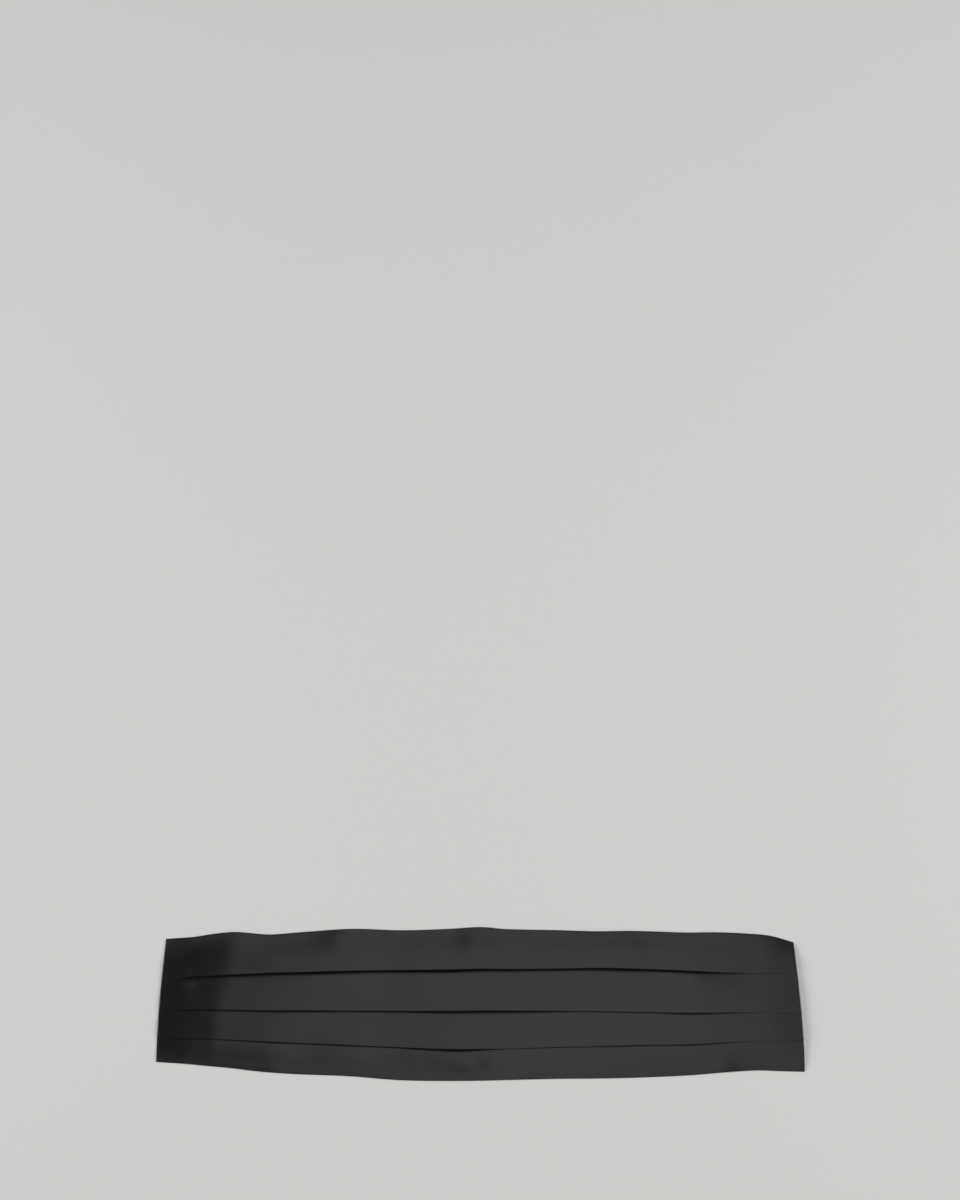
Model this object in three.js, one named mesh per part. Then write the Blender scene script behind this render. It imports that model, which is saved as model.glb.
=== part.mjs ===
// A black satin cummerbund, lying face up on a table with its strap done up beneath it.
// The front is one cloth. It is folded into three long pleats and turned over at both
// long edges, where it runs on across the back, so its section is one closed band of
// cloth. A narrow strap is sewn flat to the back at each end, and the two straps meet
// under the panel in a plain clasp.
// Millimetres. X runs along the panel, Y across it, towards the edge that is nearer to
// straight, and Z up. The origin is on the table, under the middle of the panel.

import * as THREE from "three";

// The pleated panel
const PANEL_LENGTH = 560;
const PANEL_WIDTH = 133;
const LEFT_SLANT = 8.6; // how far the left end's upper corner stands in from its lower one
const RIGHT_SLANT = 10.4;
const SLANT_BEND = 1.6; // 1 is a straight end; above 1 the end bows outwards
const CLOTH = 1; // the satin with its interlining
const LAYER_GAP = 0.35; // air between two layers that lie on each other
const PLEAT_DEPTH = 12; // how far each fold is tucked under
const PLEAT_OPENINGS = [1, 0.6, 0.6]; // how far each fold stands open in the middle

// The strap
const STRAP_WIDTH = 25;
const STRAP_THICKNESS = 1;
const STRAP_FOLD_PLACE = 0.43; // share of PANEL_LENGTH from its middle to the strap's fold
const PATCH_LENGTH = 28; // the stretch that is sewn flat to the back
const RETURN_LENGTH = 24; // the end that is turned round the clasp and sewn down
const RETURN_RAMP = 8; // the slope from the clasp down to it

// The clasp, one stamped plate with a slot for each strap
const CLASP_DISTANCE = 90; // from the panel's middle, towards its right end
const CLASP_MIDDLE = 21; // the solid stretch between the two slots
const CLASP_BAR = 3; // the bar outside each slot
const CLASP_RAIL = 3; // the metal beside each slot
const CLASP_THICKNESS = 1.2;
const CLASP_CORNER = 3;
const SLOT_CORNER = 0.8;
const SLOT_END_GAP = 1.5; // past the strap's loop, along the slot's short way
const SLOT_SIDE_GAP = 0.5; // beside the strap, at each end of the slot

// How the pieces lie on each other
const SEAT_GAP = 0.3;
const BRIDGE_ROOM = 0.6; // over the clasp, where the stiff panel bridges
const FLAT_MARGIN = 2; // the panel stays level this far past the strap's edges

// One row for each cross-section. along is a share of PANEL_LENGTH from its middle, and
// top, the folds and bottom are shares of PANEL_WIDTH from its middle. rise is 0 where the
// panel lies on the table, 1 where it lies on the strap's fold and 2 where it bridges the
// clasp. open runs from 0, where a pleat is pressed shut, to 1, where it stands fully open.
const SECTIONS = [
  { along: -0.5, top: 0.424, folds: [0.137, -0.047, -0.229], bottom: -0.378, rise: 0, open: 0 },
  { along: -0.458, top: 0.43, folds: [0.17, -0.039, -0.225], bottom: -0.389, rise: 0.68, open: 0.15 },
  { along: -0.425, top: 0.443, folds: [0.179, -0.039, -0.228], bottom: -0.402, rise: 1.25, open: 0.4 },
  { along: -0.391, top: 0.467, folds: [0.188, -0.041, -0.235], bottom: -0.415, rise: 1.8, open: 0.6 },
  { along: -0.337, top: 0.455, folds: [0.198, -0.045, -0.246], bottom: -0.441, rise: 1.9, open: 0.9 },
  { along: -0.285, top: 0.461, folds: [0.203, -0.045, -0.256], bottom: -0.456, rise: 1.95, open: 1 },
  { along: -0.205, top: 0.488, folds: [0.213, -0.046, -0.269], bottom: -0.469, rise: 2, open: 1 },
  { along: -0.124, top: 0.479, folds: [0.217, -0.048, -0.284], bottom: -0.492, rise: 2, open: 1 },
  { along: -0.05, top: 0.488, folds: [0.22, -0.048, -0.296], bottom: -0.5, rise: 2, open: 1 },
  { along: 0.002, top: 0.5, folds: [0.226, -0.046, -0.295], bottom: -0.496, rise: 2, open: 1 },
  { along: 0.04, top: 0.487, folds: [0.224, -0.046, -0.293], bottom: -0.491, rise: 2, open: 1 },
  { along: 0.123, top: 0.48, folds: [0.227, -0.048, -0.282], bottom: -0.481, rise: 2, open: 0.9 },
  { along: 0.184, top: 0.473, folds: [0.231, -0.05, -0.277], bottom: -0.478, rise: 2, open: 0.9 },
  { along: 0.246, top: 0.475, folds: [0.226, -0.054, -0.27], bottom: -0.472, rise: 2, open: 0.85 },
  { along: 0.328, top: 0.465, folds: [0.213, -0.061, -0.265], bottom: -0.455, rise: 2, open: 0.7 },
  { along: 0.38, top: 0.464, folds: [0.202, -0.059, -0.253], bottom: -0.437, rise: 2, open: 0.4 },
  { along: 0.427, top: 0.453, folds: [0.196, -0.058, -0.245], bottom: -0.426, rise: 1.95, open: 0.15 },
  { along: 0.465, top: 0.432, folds: [0.196, -0.06, -0.242], bottom: -0.43, rise: 1.8, open: 0.05 },
  { along: 0.5, top: 0.406, folds: [0.203, -0.071, -0.24], bottom: -0.434, rise: 1.4, open: 0 },
];

// The soft swells in the face. along and across are shares of the panel's length and
// width from its middle, the reaches are shares too, and height is in millimetres.
const SWELLS = [
  { along: -0.317, across: 0.43, reachAlong: 0.03, reachAcross: 0.1, height: 0.4 },
  { along: -0.204, across: 0.42, reachAlong: 0.038, reachAcross: 0.13, height: 0.9 },
  { along: 0.006, across: 0.41, reachAlong: 0.034, reachAcross: 0.15, height: 1.1 },
  { along: 0.234, across: 0.4, reachAlong: 0.035, reachAcross: 0.13, height: 0.6 },
  { along: -0.302, across: -0.4, reachAlong: 0.035, reachAcross: 0.1, height: 0.8 },
  { along: 0.007, across: -0.385, reachAlong: 0.035, reachAcross: 0.1, height: 0.4 },
  { along: 0.427, across: -0.385, reachAlong: 0.035, reachAcross: 0.1, height: 0.8 },
];

// The layers of cloth over a tucked fold, counted up from the back
const BACK_LAYER = 0;
const TUCKED_LAYER = 1;
const UNDERFOLD_LAYER = 2;
const FACE_LAYER = 3;

// How finely the curved things are cut
const TURN_STEPS = 4; // in each half circle of cloth
const SLOPE_STEPS = 4; // up the slope of each pleat
const BACK_STEPS = 12; // across the back
const PATCH_STEPS = 4; // along the stretch of strap that is sewn to the back
const CORNER_STEPS = 5; // round each corner of the clasp
const LONGEST_STEP = 0.045; // between two sections, as a share of PANEL_LENGTH

// Heights and reaches that follow from the sizes above
const LAYER_PITCH = CLOTH + LAYER_GAP;
const TURN_RADIUS = LAYER_PITCH / 2;
const TURN_REACH = TURN_RADIUS + CLOTH / 2; // from a turn's centre to the outside of the cloth
const STRAP_RUN_Z = STRAP_THICKNESS / 2;
const STRAP_UPPER_Z = STRAP_RUN_Z + STRAP_THICKNESS + SEAT_GAP;
const CLASP_BOTTOM = STRAP_THICKNESS + SEAT_GAP;
const STRAP_OVER_CLASP_Z = CLASP_BOTTOM + CLASP_THICKNESS + SEAT_GAP + STRAP_THICKNESS / 2;
const LIFT_OVER_FOLD = STRAP_UPPER_Z + STRAP_THICKNESS / 2 + SEAT_GAP;
const LIFT_OVER_CLASP = STRAP_OVER_CLASP_Z + STRAP_THICKNESS / 2 + SEAT_GAP + BRIDGE_ROOM;
const STRAP_LOOP_REACH = (STRAP_OVER_CLASP_Z - STRAP_RUN_Z + STRAP_THICKNESS) / 2;
const CLASP_SLOT = STRAP_LOOP_REACH + SLOT_END_GAP;
const CLASP_SLOT_WIDTH = STRAP_WIDTH + 2 * SLOT_SIDE_GAP;
const CLASP_LENGTH = CLASP_MIDDLE + 2 * (CLASP_SLOT + CLASP_BAR);
const CLASP_WIDTH = CLASP_SLOT_WIDTH + 2 * CLASP_RAIL;

const satin = new THREE.MeshStandardMaterial({ color: 0x1b1a19, roughness: 0.42, metalness: 0 });
satin.name = "satin";
const ribbon = new THREE.MeshStandardMaterial({ color: 0x141414, roughness: 0.6, metalness: 0 });
ribbon.name = "strap_ribbon";
const metal = new THREE.MeshStandardMaterial({ color: 0xb4b4b2, roughness: 0.3, metalness: 1 });
metal.name = "clasp_metal";

/** 0 below the first edge, 1 above the second, and a smooth slope between them. */
function ease(from, to, value) {
  return THREE.MathUtils.smoothstep(value, from, to);
}

/** The slope of one table column at row i, from the rows on its two sides. */
function slopeAt(read, i) {
  const before = SECTIONS[Math.max(i - 1, 0)];
  const after = SECTIONS[Math.min(i + 1, SECTIONS.length - 1)];
  return (read(after) - read(before)) / (after.along - before.along);
}

/** One table column at any place along the panel, on a smooth curve through its rows. */
function column(read, along) {
  const last = SECTIONS.length - 2;
  const i = Math.min(last, Math.max(0, SECTIONS.findIndex((row) => row.along >= along) - 1));
  const step = SECTIONS[i + 1].along - SECTIONS[i].along;
  const t = (along - SECTIONS[i].along) / step;
  const start = read(SECTIONS[i]);
  const end = read(SECTIONS[i + 1]);
  const startSlope = slopeAt(read, i) * step;
  const endSlope = slopeAt(read, i + 1) * step;
  return (
    start * (2 * t ** 3 - 3 * t ** 2 + 1) +
    startSlope * (t ** 3 - 2 * t ** 2 + t) +
    end * (3 * t ** 2 - 2 * t ** 3) +
    endSlope * (t ** 3 - t ** 2)
  );
}

/** How high the panel's underside hangs over the strap, at any place along the panel. */
function liftAt(along) {
  const rise = THREE.MathUtils.clamp(column((row) => row.rise, along), 0, 2);
  if (rise < 1) return rise * LIFT_OVER_FOLD;
  return THREE.MathUtils.lerp(LIFT_OVER_FOLD, LIFT_OVER_CLASP, rise - 1);
}

/** Everything that one cross-section needs, in millimetres. */
function sectionAt(along) {
  return {
    along,
    top: column((row) => row.top, along) * PANEL_WIDTH,
    bottom: column((row) => row.bottom, along) * PANEL_WIDTH,
    folds: PLEAT_OPENINGS.map((_, k) => column((row) => row.folds[k], along) * PANEL_WIDTH),
    lift: liftAt(along),
    open: THREE.MathUtils.clamp(column((row) => row.open, along), 0, 1),
  };
}

/** The height of the panel's underside: level over the strap, down on the table at both edges. */
function underside(section, y) {
  const edge = y > 0 ? section.top : -section.bottom;
  const levelTo = STRAP_WIDTH / 2 + FLAT_MARGIN;
  return section.lift * (1 - ease(levelTo, edge - TURN_REACH, Math.abs(y)));
}

/** How far the soft swells raise the face at one place. */
function swell(along, y) {
  return SWELLS.reduce((sum, s) => {
    const a = (along - s.along) / s.reachAlong;
    const b = (y / PANEL_WIDTH - s.across) / s.reachAcross;
    return sum + s.height * Math.exp(-a * a - b * b);
  }, 0);
}

/** The height of the cloth's middle at one layer, or between two of them. */
function layerHeight(section, y, layer) {
  return underside(section, y) + CLOTH / 2 + layer * LAYER_PITCH;
}

/** How far a fold stands open above the next pleat: most at its edge, nothing at its tuck. */
function standing(section, k, y) {
  const share = THREE.MathUtils.clamp(1 - (y - section.folds[k]) / PLEAT_DEPTH, 0, 1);
  return PLEAT_OPENINGS[k] * section.open * share;
}

/** A half circle of cloth from one layer to the next, as points [y, z]. bulge is 1 towards +Y. */
function turn(section, y, fromLayer, toLayer, bulge, raised = 0) {
  const z = layerHeight(section, y, (fromLayer + toLayer) / 2) + raised;
  const climb = toLayer - fromLayer;
  const points = [];
  for (let i = 0; i <= TURN_STEPS; i++) {
    const angle = (Math.PI * i) / TURN_STEPS;
    points.push([
      y + bulge * TURN_RADIUS * Math.sin(angle),
      z - climb * TURN_RADIUS * Math.cos(angle),
    ]);
  }
  return points;
}

/** The face of one pleat, from where it comes out of its tuck to its own fold or edge. */
function pleatFace(section, k, from, to) {
  const { along, folds, top } = section;
  const folded = k < folds.length;
  const visibleFrom = k === 0 ? top - TURN_REACH : folds[k - 1];
  const slopeEnd = folded ? folds[k] + PLEAT_DEPTH : to;
  const height = (y) => {
    const climb = folded ? ease(0, visibleFrom - slopeEnd, visibleFrom - y) : 0;
    const layer = THREE.MathUtils.lerp(TUCKED_LAYER, FACE_LAYER, climb);
    const lip = folded ? standing(section, k, y) : 0;
    const shown = ease(0, PLEAT_DEPTH, visibleFrom - y) * ease(0, PLEAT_DEPTH / 2, y - to);
    return layerHeight(section, y, layer) + lip + swell(along, y) * shown;
  };
  const stops = [];
  if (k > 0) stops.push((from + visibleFrom) / 2, visibleFrom);
  for (let i = 1; i < SLOPE_STEPS; i++) {
    stops.push(THREE.MathUtils.lerp(visibleFrom, slopeEnd, i / SLOPE_STEPS));
  }
  if (folded) stops.push(slopeEnd, (slopeEnd + to) / 2);
  return stops.map((y) => [y, height(y)]);
}

/** The whole closed line of the cloth's middle at one section, as points [y, z]. */
function clothLine(section) {
  const { folds, top, bottom } = section;
  const topTurn = top - TURN_REACH;
  const bottomTurn = bottom + TURN_REACH;
  const line = [];
  for (let i = 1; i < BACK_STEPS; i++) {
    const y = THREE.MathUtils.lerp(bottomTurn, topTurn, i / BACK_STEPS);
    line.push([y, layerHeight(section, y, BACK_LAYER)]);
  }
  line.push(...turn(section, topTurn, BACK_LAYER, TUCKED_LAYER, 1));
  let from = topTurn;
  folds.forEach((fold, k) => {
    const edge = fold + TURN_REACH;
    const tuck = fold + PLEAT_DEPTH;
    const middle = (edge + tuck) / 2;
    line.push(...pleatFace(section, k, from, edge));
    const raised = standing(section, k, middle);
    line.push(...turn(section, edge, FACE_LAYER, UNDERFOLD_LAYER, -1, standing(section, k, edge)));
    line.push([middle, layerHeight(section, middle, UNDERFOLD_LAYER) + raised]);
    line.push(...turn(section, tuck, UNDERFOLD_LAYER, TUCKED_LAYER, 1));
    from = tuck;
  });
  line.push(...pleatFace(section, folds.length, from, bottomTurn));
  line.push(...turn(section, bottomTurn, TUCKED_LAYER, BACK_LAYER, -1));
  return line;
}

/** The way out of the cloth at each point of a closed line that runs with its outside on the right. */
function outwards(line) {
  const direction = (a, b) => new THREE.Vector2(b[0] - a[0], b[1] - a[1]).normalize();
  return line.map((point, i) => {
    const before = line[(i + line.length - 1) % line.length];
    const after = line[(i + 1) % line.length];
    const along = direction(before, point).add(direction(point, after)).normalize();
    return [along.y, -along.x];
  });
}

/** The X of a point, between two ends that slant inwards from the lower corner to the upper. */
function placeAlong(section, y) {
  const up = THREE.MathUtils.clamp((y - section.bottom) / (section.top - section.bottom), 0, 1);
  const bow = up ** SLANT_BEND;
  const left = -PANEL_LENGTH / 2 + LEFT_SLANT * bow;
  const right = PANEL_LENGTH / 2 - RIGHT_SLANT * bow;
  return THREE.MathUtils.lerp(left, right, section.along + 0.5);
}

/** The places of the sections: one at each row, and one between two rows that lie far apart. */
function sectionPlaces() {
  return SECTIONS.flatMap((row, i) => {
    const next = SECTIONS[i + 1];
    const far = next && next.along - row.along > LONGEST_STEP;
    return far ? [row.along, (row.along + next.along) / 2] : [row.along];
  });
}

/** The folded cloth: its outer and inner skins carried through every section, open at both ends. */
function pleatedPanel() {
  const vertices = [];
  const places = sectionPlaces();
  let around = 0;
  for (const along of places) {
    const section = sectionAt(along);
    const line = clothLine(section);
    const out = outwards(line);
    around = line.length;
    for (const side of [1, -1]) {
      line.forEach(([y, z], i) => {
        const py = y + (side * out[i][0] * CLOTH) / 2;
        const pz = z + (side * out[i][1] * CLOTH) / 2;
        vertices.push(placeAlong(section, y), py, pz);
      });
    }
  }
  const outer = (j, i) => j * 2 * around + (i % around);
  const inner = (j, i) => outer(j, i) + around;
  const faces = [];
  const quad = (a, b, c, d) => faces.push(a, b, c, a, c, d);
  const last = places.length - 1;
  for (let i = 0; i < around; i++) {
    for (let j = 0; j < last; j++) {
      quad(outer(j, i), outer(j, i + 1), outer(j + 1, i + 1), outer(j + 1, i));
      quad(inner(j, i), inner(j + 1, i), inner(j + 1, i + 1), inner(j, i + 1));
    }
    quad(outer(0, i), inner(0, i), inner(0, i + 1), outer(0, i + 1));
    quad(outer(last, i), outer(last, i + 1), inner(last, i + 1), inner(last, i));
  }
  const geometry = new THREE.BufferGeometry();
  geometry.setAttribute("position", new THREE.Float32BufferAttribute(vertices, 3));
  geometry.setIndex(faces);
  geometry.computeVertexNormals();
  return geometry;
}

/** A flat band of even thickness along a line of points [x, z], laid across Y. */
function band(line, width, thickness) {
  const side = (sign) =>
    line.map((point, i) => {
      const before = line[Math.max(i - 1, 0)];
      const after = line[Math.min(i + 1, line.length - 1)];
      const a = new THREE.Vector2(point[0] - before[0], point[1] - before[1]).normalize();
      const b = new THREE.Vector2(after[0] - point[0], after[1] - point[1]).normalize();
      const along = a.add(b).normalize();
      const reach = (sign * thickness) / 2;
      return new THREE.Vector2(point[0] - along.y * reach, point[1] + along.x * reach);
    });
  const outline = new THREE.Shape([...side(1), ...side(-1).reverse()]);
  const geometry = new THREE.ExtrudeGeometry(outline, { depth: width, bevelEnabled: false });
  geometry.rotateX(Math.PI / 2);
  geometry.translate(0, width / 2, 0);
  return geometry;
}

/** Half a circle in the X-Z plane from the low level to the high one, bulging to one side. */
function halfCircle(x, low, high, bulge, steps) {
  const radius = (high - low) / 2;
  const points = [];
  for (let i = 0; i <= steps; i++) {
    const angle = (Math.PI * i) / steps;
    points.push([x + bulge * radius * Math.sin(angle), low + radius - radius * Math.cos(angle)]);
  }
  return points;
}

/**
 * One strap: sewn flat to the panel's back, folded under itself near the panel's end, then
 * back along the table, round the clasp's bar and down on itself. end is -1 for the left
 * strap and 1 for the right one, and x counts from the middle towards that strap's end.
 */
function strap(end) {
  const sewnZ = (x) => liftAt((end * x) / PANEL_LENGTH) - SEAT_GAP - STRAP_THICKNESS / 2;
  const foldReach = (STRAP_UPPER_Z - STRAP_RUN_Z + STRAP_THICKNESS) / 2;
  const foldAt = PANEL_LENGTH * STRAP_FOLD_PLACE - foldReach;
  const barInside = end * CLASP_DISTANCE + CLASP_LENGTH / 2 - CLASP_BAR;
  const rampStart = barInside + CLASP_BAR + SEAT_GAP;
  const rampEnd = rampStart + RETURN_RAMP;
  const patch = [];
  for (let i = 0; i < PATCH_STEPS; i++) {
    const x = foldAt - PATCH_LENGTH * (1 - i / PATCH_STEPS);
    patch.push([x, sewnZ(x)]);
  }
  const line = [
    ...patch,
    ...halfCircle(foldAt, STRAP_RUN_Z, sewnZ(foldAt), 1, TURN_STEPS * 2).reverse(),
    ...halfCircle(barInside, STRAP_RUN_Z, STRAP_OVER_CLASP_Z, -1, TURN_STEPS * 2),
    [rampStart, STRAP_OVER_CLASP_Z],
    [rampEnd, STRAP_UPPER_Z],
    [rampEnd + RETURN_LENGTH, STRAP_UPPER_Z],
  ].map(([x, z]) => [end * x, z]);
  return band(line, STRAP_WIDTH, STRAP_THICKNESS);
}

/** Adds a rectangle with round corners to a shape or a path, centred on x. */
function roundedRectangle(path, x, length, width, corner) {
  const l = length / 2 - corner;
  const w = width / 2 - corner;
  const quarter = Math.PI / 2;
  path.absarc(x + l, w, corner, 0, quarter);
  path.absarc(x - l, w, corner, quarter, 2 * quarter);
  path.absarc(x - l, -w, corner, 2 * quarter, 3 * quarter);
  path.absarc(x + l, -w, corner, 3 * quarter, 4 * quarter);
  path.closePath();
  return path;
}

/** The clasp: a rounded plate with a slot near each end, so that a bar is left outside it. */
function clasp() {
  const plate = roundedRectangle(new THREE.Shape(), 0, CLASP_LENGTH, CLASP_WIDTH, CLASP_CORNER);
  const slotAt = CLASP_LENGTH / 2 - CLASP_BAR - CLASP_SLOT / 2;
  for (const x of [-slotAt, slotAt]) {
    const slot = new THREE.Path();
    plate.holes.push(roundedRectangle(slot, x, CLASP_SLOT, CLASP_SLOT_WIDTH, SLOT_CORNER));
  }
  return new THREE.ExtrudeGeometry(plate, {
    depth: CLASP_THICKNESS,
    bevelEnabled: false,
    curveSegments: CORNER_STEPS,
  });
}

/** A named mesh, as one separate piece of the cummerbund. */
function piece(name, geometry, material) {
  const mesh = new THREE.Mesh(geometry, material);
  mesh.name = name;
  return mesh;
}

const claspPiece = piece("clasp", clasp(), metal);
claspPiece.position.set(CLASP_DISTANCE, 0, CLASP_BOTTOM);

const cummerbund = new THREE.Group();
cummerbund.name = "cummerbund";
cummerbund.add(piece("pleated_front", pleatedPanel(), satin));
cummerbund.add(piece("left_strap", strap(-1), ribbon));
cummerbund.add(piece("right_strap", strap(1), ribbon));
cummerbund.add(claspPiece);

export default cummerbund;
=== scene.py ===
"""A black satin cummerbund, lying face up on a pale floor with its strap done up beneath it.

The front is one cloth in three long pleats, turned over at both long edges and carried on
across the back. Two ribbon straps run from its back to a flat slotted clasp.

Lengths are in metres. X runs along the front, Y across it, away from the edges that the
pleats open towards, and Z up. The origin is on the floor, under the middle of the front.
"""

import logging
from dataclasses import dataclass, fields
from enum import Enum
from math import pi, radians

import bmesh
import bpy
import numpy as np
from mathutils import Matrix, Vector


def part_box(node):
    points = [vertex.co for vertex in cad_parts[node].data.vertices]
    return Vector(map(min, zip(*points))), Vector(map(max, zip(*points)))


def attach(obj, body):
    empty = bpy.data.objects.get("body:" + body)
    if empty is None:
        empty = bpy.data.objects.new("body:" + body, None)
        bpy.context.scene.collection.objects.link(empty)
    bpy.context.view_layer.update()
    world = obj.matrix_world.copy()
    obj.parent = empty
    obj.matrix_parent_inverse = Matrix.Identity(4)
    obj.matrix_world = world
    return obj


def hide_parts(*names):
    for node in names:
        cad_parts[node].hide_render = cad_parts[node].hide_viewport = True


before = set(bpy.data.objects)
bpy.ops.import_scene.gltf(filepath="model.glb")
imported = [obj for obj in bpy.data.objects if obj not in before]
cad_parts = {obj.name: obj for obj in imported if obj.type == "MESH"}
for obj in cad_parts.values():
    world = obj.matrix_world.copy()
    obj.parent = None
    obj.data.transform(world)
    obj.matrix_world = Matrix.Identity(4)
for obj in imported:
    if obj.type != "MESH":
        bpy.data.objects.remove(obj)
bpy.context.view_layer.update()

log = logging.getLogger("cummerbund")

MM = 0.001
CLOTH_MAP = "cloth"
WAVE_LENGTH = 0.31416
MIX_LOW = 6
MIX_HIGH = 7
MIX_COLOUR = 2


class End(Enum):
    """The two ends of the front, by the side of the middle that they lie on."""

    LEFT = -1
    RIGHT = 1


@dataclass(frozen=True)
class Section:
    """One cross-section of the front.

    along is a share of the front's length from its middle. top, folds and bottom are shares
    of its width from its middle.
    """

    along: float
    top: float
    folds: tuple[float, float, float]
    bottom: float


@dataclass(frozen=True)
class Lift:
    """How far the front is raised at one place, as a share of its height over the clasp."""

    along: float
    share: float


@dataclass(frozen=True)
class Opening:
    """How far each fold stands open at one place: 0 is pressed shut, 1 open and more is wider."""

    along: float
    first: float
    second: float
    third: float


@dataclass(frozen=True)
class Swell:
    """A soft swell in the face.

    along, across and the reaches are shares of the front's length and width. height is in
    metres, and turn is how far the swell leans from straight across, in degrees.
    """

    along: float
    across: float
    reach_along: float
    reach_across: float
    height: float
    turn: float = 0.0


SECTIONS = (
    Section(-0.5, 0.424, (0.14, -0.044, -0.226), -0.378),
    Section(-0.458, 0.436, (0.173, -0.036, -0.222), -0.389),
    Section(-0.425, 0.456, (0.182, -0.036, -0.225), -0.402),
    Section(-0.391, 0.468, (0.191, -0.038, -0.232), -0.415),
    Section(-0.337, 0.452, (0.201, -0.042, -0.243), -0.441),
    Section(-0.285, 0.467, (0.206, -0.042, -0.253), -0.456),
    Section(-0.205, 0.488, (0.216, -0.043, -0.266), -0.469),
    Section(-0.124, 0.479, (0.22, -0.045, -0.281), -0.495),
    Section(-0.05, 0.488, (0.223, -0.045, -0.293), -0.5),
    Section(0.002, 0.5, (0.229, -0.043, -0.292), -0.498),
    Section(0.04, 0.487, (0.227, -0.043, -0.29), -0.494),
    Section(0.123, 0.48, (0.23, -0.045, -0.279), -0.486),
    Section(0.184, 0.473, (0.234, -0.047, -0.274), -0.484),
    Section(0.246, 0.475, (0.229, -0.051, -0.267), -0.478),
    Section(0.328, 0.465, (0.216, -0.058, -0.262), -0.462),
    Section(0.38, 0.466, (0.205, -0.056, -0.25), -0.444),
    Section(0.427, 0.458, (0.199, -0.055, -0.242), -0.432),
    Section(0.465, 0.443, (0.199, -0.057, -0.239), -0.437),
    Section(0.5, 0.404, (0.206, -0.068, -0.237), -0.441),
)

LIFTS = (
    Lift(-0.5, 0.0),
    Lift(-0.464, 0.285),
    Lift(-0.437, 0.57),
    Lift(-0.414, 0.79),
    Lift(-0.403, 0.86),
    Lift(-0.391, 0.885),
    Lift(-0.34, 0.92),
    Lift(-0.2, 0.99),
    Lift(-0.1, 1.0),
    Lift(0.3, 1.0),
    Lift(0.41, 0.995),
    Lift(0.447, 0.965),
    Lift(0.475, 0.86),
    Lift(0.5, 0.75),
)

OPENINGS = (
    Opening(-0.5, 0.0, 0.0, 0.0),
    Opening(-0.47, 0.2, 0.25, 0.2),
    Opening(-0.44, 0.82, 0.5, 0.3),
    Opening(-0.4, 0.88, 0.45, 0.33),
    Opening(-0.36, 0.98, 0.52, 0.45),
    Opening(-0.32, 1.15, 0.66, 0.58),
    Opening(-0.27, 1.3, 0.65, 0.42),
    Opening(-0.2, 1.15, 0.5, 0.58),
    Opening(-0.15, 0.95, 0.5, 0.4),
    Opening(-0.09, 1.2, 0.75, 0.78),
    Opening(-0.03, 1.25, 1.05, 1.1),
    Opening(0.03, 0.92, 0.92, 0.26),
    Opening(0.1, 0.85, 0.55, 0.25),
    Opening(0.16, 0.9, 0.25, 0.25),
    Opening(0.22, 1.2, 0.34, 0.42),
    Opening(0.28, 0.85, 0.35, 0.35),
    Opening(0.33, 1.05, 0.6, 0.46),
    Opening(0.365, 0.72, 0.44, 0.34),
    Opening(0.395, 0.4, 0.27, 0.22),
    Opening(0.425, 0.12, 0.08, 0.1),
    Opening(0.45, 0.02, 0.0, 0.0),
    Opening(0.5, 0.0, 0.0, 0.0),
)

SWELLS = (
    Swell(-0.317, 0.43, 0.03, 0.1, 0.15 * MM),
    Swell(-0.328, 0.27, 0.035, 0.06, 0.35 * MM),
    Swell(-0.29, -0.19, 0.04, 0.06, 0.12 * MM),
    Swell(-0.222, 0.44, 0.03, 0.09, 0.8 * MM, turn=25.0),
    Swell(-0.004, 0.4, 0.027, 0.1, 1.15 * MM),
    Swell(0.055, 0.42, 0.02, 0.08, 0.6 * MM),
    Swell(0.17, 0.43, 0.02, 0.08, 0.65 * MM),
    Swell(0.232, 0.4, 0.025, 0.08, 0.95 * MM),
    Swell(-0.322, -0.43, 0.012, 0.05, 0.2 * MM),
    Swell(-0.01, -0.41, 0.022, 0.07, 0.75 * MM),
    Swell(0.375, -0.4, 0.02, 0.06, 0.5 * MM),
)


def ease(start: np.ndarray | float, end: np.ndarray | float, value: np.ndarray) -> np.ndarray:
    """A smooth slope from 0 to 1: three t squared less two t cubed.

    Args:
        start: The value at which the slope leaves 0.
        end: The value at which it reaches 1.
        value: Where the slope is read.

    Returns:
        The slope's height, with the shape that the three make together.
    """
    t = np.clip((value - start) / (end - start), 0.0, 1.0)
    return t * t * (3.0 - 2.0 * t)


def blend(low: np.ndarray | float, high: np.ndarray | float, share: np.ndarray) -> np.ndarray:
    """The value at a share of the way from low to high."""
    return low + (high - low) * share


def through(places: list[float], values: list[float], at: np.ndarray) -> np.ndarray:
    """A smooth curve through the rows of a table.

    Between two rows it is the cubic that meets both, and its slope at a row is that of the
    line between the row's two neighbours.

    Args:
        places: Where the rows lie, in rising order.
        values: The column's value in each row.
        at: The places where the curve is read.

    Returns:
        The curve's value at each place.
    """
    x = np.array(places)
    v = np.array(values)
    before = np.maximum(np.arange(len(x)) - 1, 0)
    after = np.minimum(np.arange(len(x)) + 1, len(x) - 1)
    slope = (v[after] - v[before]) / (x[after] - x[before])
    i = np.clip(np.searchsorted(x, at, side="right") - 1, 0, len(x) - 2)
    step = x[i + 1] - x[i]
    t = np.clip((at - x[i]) / step, 0.0, 1.0)
    start = v[i] * (2 * t**3 - 3 * t**2 + 1) + slope[i] * step * (t**3 - 2 * t**2 + t)
    end = v[i + 1] * (3 * t**2 - 2 * t**3) + slope[i + 1] * step * (t**3 - t**2)
    return start + end


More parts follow.
